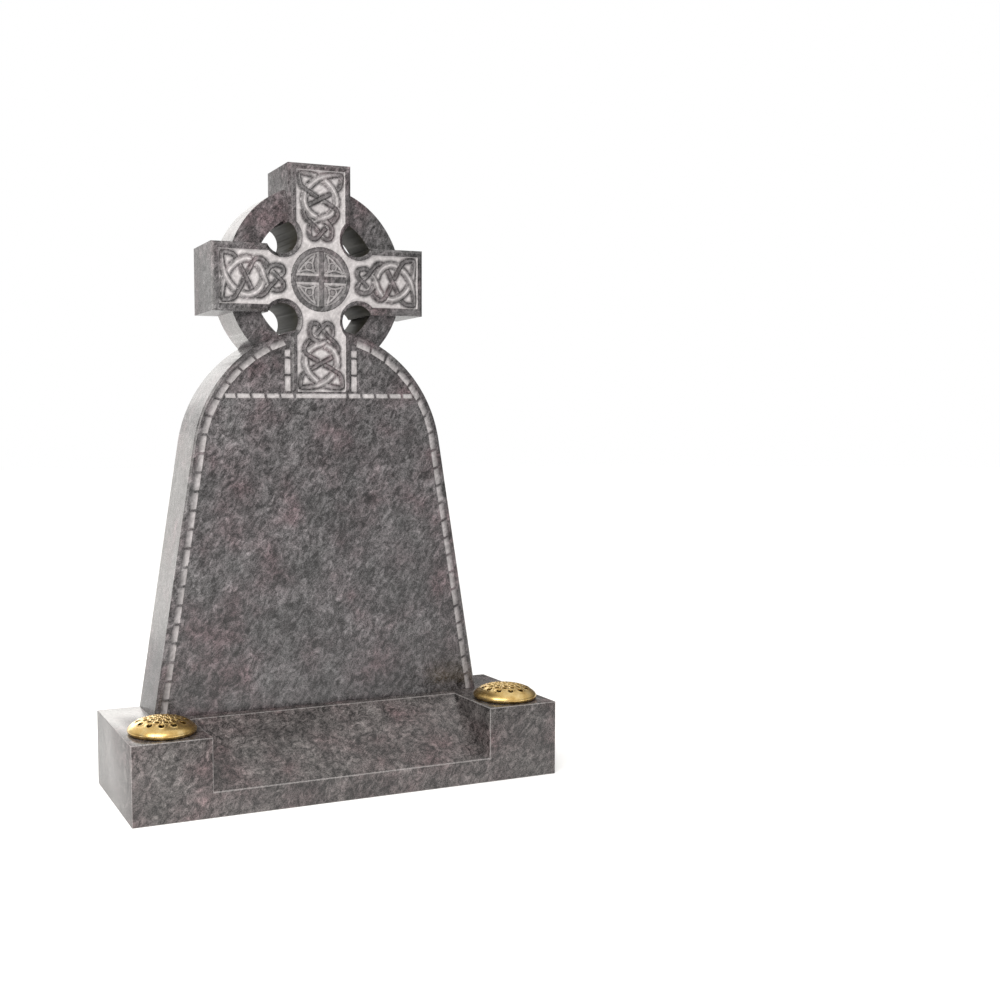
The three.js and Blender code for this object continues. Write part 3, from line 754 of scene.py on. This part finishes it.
def turned(name, section, side, steps, material):
    """A closed section of (radius, height) points spun round the axis of one container."""
    bm = bmesh.new()
    verts = [bm.verts.new((side * pot_x + r, pot_y, z)) for r, z in section]
    for a, b in zip(verts, verts[1:]):
        bm.edges.new((a, b))
    if section[0][0] > 0:
        bm.edges.new((verts[-1], verts[0]))
    bmesh.ops.spin(bm, geom=bm.verts[:] + bm.edges[:], cent=(side * pot_x, pot_y, 0), axis=(0, 0, 1),
                   angle=2 * pi, steps=steps, use_merge=True, use_duplicate=False)
    bmesh.ops.remove_doubles(bm, verts=bm.verts, dist=1e-6)
    return piece_from(name, bm, material)


pot_metal = gold("container_metal", 0.3, 0.5, 0.35)
pot_outer = bore_radius - pot_clearance
pot_inner = pot_outer - pot_wall
flange_top = flange_low + flange_thickness
for side, word in ((-1, "left"), (1, "right")):
    pot = turned("pot_" + word, [
        (0, pot_low), (pot_outer - 6 * mm, pot_low), (pot_outer - 1.8 * mm, pot_low + 1.8 * mm),
        (pot_outer, pot_low + 6 * mm), (pot_outer, flange_low), (flange_radius - 0.5 * mm, flange_low),
        (flange_radius, flange_low + 0.5 * mm), (flange_radius, flange_top - 0.5 * mm),
        (flange_radius - 0.5 * mm, flange_top), (pot_inner + 1 * mm, flange_top),
        (pot_inner, flange_top - 1 * mm),
        (pot_inner, pot_low + 7 * mm), (pot_inner - 2.2 * mm, pot_low + 3 * mm),
        (pot_inner - 7 * mm, pot_low + pot_wall), (0, pot_low + pot_wall)], side, 96, pot_metal)
    pot.data.shade_smooth()
    pot.data.set_sharp_from_angle(angle=radians(40))
    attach(pot, "root")
    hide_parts("flower_container_" + word)


# Lids: pressed and pierced gold-coloured domes that lift off, each resting on its pot's flange.
# A smooth shining shoulder runs up to a crown of round holes in rings, every hole with a raised lip.
lid_radius, lid_rise, lid_sheet = 66 * mm, 28 * mm, 1.2 * mm
lid_foot = base_height + 1.2 * mm
lid_rest = flange_top + 0.3 * mm
lid_belly = lid_foot + 6.5 * mm
hole_rings = ((45.5 * mm, 5.6 * mm, 12, 0.5), (32 * mm, 4.2 * mm, 12, 0.0), (20.5 * mm, 3.6 * mm, 8, 0.5),
              (11.5 * mm, 2.4 * mm, 6, 0.0), (0, 2.8 * mm, 1, 0.0))
raised_lip, lip_width = 1.0 * mm, 1.6 * mm
crown_radius, punch_length = 53 * mm, 60 * mm


def dome(r):
    """Height of the lid's outer face at a radius: round at the belly and nearly flat at the crown."""
    return lid_belly + (lid_foot + lid_rise - lid_belly) * max(1 - (r / lid_radius) ** 2.5, 0) ** 0.62


lid_metal = gold("lid_metal", 0.2, 0.34, 1.0)
for side, word in ((-1, "left"), (1, "right")):
    round_in = np.linspace(0, pi / 2, 14)
    outer = [(lid_radius * cos(a), dome(lid_radius * cos(a))) for a in round_in[:5]]
    outer += [(r, dome(r)) for r in np.linspace(outer[-1][0], 0, 56)[1:]]
    inner = [(r * 0.975, z - lid_sheet) for r, z in outer[3:][::-1]]
    lid = turned("lid_" + word, inner + [
        (flange_radius + 0.9 * mm, lid_rest + 4 * mm), (flange_radius + 0.6 * mm, lid_foot + 0.4 * mm),
        (flange_radius + 1 * mm, lid_foot), (lid_radius - 2.8 * mm, lid_foot),
        (lid_radius - 1.8 * mm, lid_foot + 0.9 * mm), (lid_radius - 0.7 * mm, lid_foot + 2.8 * mm),
        (lid_radius - 0.15 * mm, lid_foot + 4.8 * mm)] + outer, side, 144, lid_metal)
    centres = [(ring * cos(2 * pi * (i + half) / count), ring * sin(2 * pi * (i + half) / count), radius)
               for ring, radius, count, half in hole_rings for i in range(count)]
    for v in lid.data.vertices:
        r = hypot(v.co.x - side * pot_x, v.co.y - pot_y)
        if r > crown_radius or v.co.z < dome(r) - 0.2 * mm:
            continue
        for cx, cy, radius in centres:
            away = hypot(v.co.x - side * pot_x - cx, v.co.y - pot_y - cy) - radius - lip_width
            if abs(away) < lip_width:
                v.co.z += raised_lip * cos(away / lip_width * pi / 2)
                break
    punches = bmesh.new()
    for cx, cy, radius in centres:
        bmesh.ops.create_cone(punches, cap_ends=True, segments=18, radius1=radius, radius2=radius,
                              depth=punch_length, matrix=Matrix.Translation(
                                  (side * pot_x + cx, pot_y + cy, lid_rest + 34 * mm)))
    worked(lid, piece_from("punches", punches, lid_metal), "DIFFERENCE")
    lid.data.shade_smooth()
    lid.data.set_sharp_from_angle(angle=radians(40))
    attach(lid, "root")
    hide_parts("container_lid_" + word)


# Floor and light: a plain pale floor in a white studio, lit softly from above and from the front left.
# A low bright panel stands behind the stone on its left, which the polished sides and tops mirror.
floor_mesh = bmesh.new()
bmesh.ops.create_circle(floor_mesh, cap_ends=True, segments=96, radius=20)
floor_paint = bpy.data.materials.new("pale_floor")
floor_paint.use_nodes = True
floor_shader = floor_paint.node_tree.nodes["Principled BSDF"]
for socket, value in (("Base Color", (0.88, 0.88, 0.88, 1)), ("Roughness", 0.9), ("Specular IOR Level", 0),
                      ("Emission Color", (1, 1, 1, 1)), ("Emission Strength", 0.25)):
    floor_shader.inputs[socket].default_value = value
floor = piece_from("floor", floor_mesh, floor_paint)

world = bpy.data.worlds.new("studio")
bpy.context.scene.world = world
world.use_nodes = True
sky = world.node_tree
heading = node(sky, "TexCoord").outputs["Generated"]


def toward(direction, low, high, weak, strong):
    """Brightness rising from weak to strong as the sky turns towards a direction."""
    facing = node(sky, "VectorMath", {"operation": "DOT_PRODUCT"}, _0=heading,
                  _1=Vector(direction).normalized()).outputs["Value"]
    return node(sky, "MapRange", {"interpolation_type": "SMOOTHSTEP"}, Value=facing, From_Min=low,
                From_Max=high, To_Min=weak, To_Max=strong).outputs[0]


glow = toward((0, -0.2, 1), 0.0, 0.95, 0.12, 1.0)
for direction, low, high, strength in (((0.1, 0.92, 0.38), 0.91, 0.97, 1.8),
                                       ((-0.3, -0.95, 0.3), 0.1, 0.95, 0.24),
                                       ((-0.52, 0.83, 0.2), 0.65, 0.95, 0.75)):
    glow = node(sky, "Math", {"operation": "ADD"}, _0=glow,
                _1=toward(direction, low, high, 0.0, strength)).outputs[0]
studio = node(sky, "Background", Color=(1.0, 0.985, 0.96, 1), Strength=glow)
white = node(sky, "Background", Color=(1, 1, 1, 1), Strength=1.0)
seen = node(sky, "LightPath").outputs["Is Camera Ray"]
shown = node(sky, "MixShader", _0=seen, _1=studio.outputs[0], _2=white.outputs[0])
sky.links.new(shown.outputs[0], sky.nodes["World Output"].inputs[0])


def softbox(name, place, width, height, power, aim):
    """A soft rectangular light aimed at a point, not seen by the camera."""
    lamp = bpy.data.lights.new(name, "AREA")
    lamp.color = (1.0, 0.975, 0.93)
    lamp.shape = "RECTANGLE"
    lamp.size, lamp.size_y = width, height
    lamp.energy = power
    lamp_object = bpy.data.objects.new(name, lamp)
    lamp_object.location = place
    lamp_object.rotation_euler = (Vector(aim) - Vector(place)).to_track_quat("-Z", "Y").to_euler()
    lamp_object.visible_camera = False
    bpy.context.scene.collection.objects.link(lamp_object)


softbox("key", (-1.2, -1.25, 1.5), 1.6, 1.6, 41, (0, 0, 0.55))
softbox("panel", (-0.5, 1.7, 0.55), 1.4, 0.8, 4.0, (-0.5, 0, 0.55))

bpy.context.scene.view_settings.view_transform = "Standard"
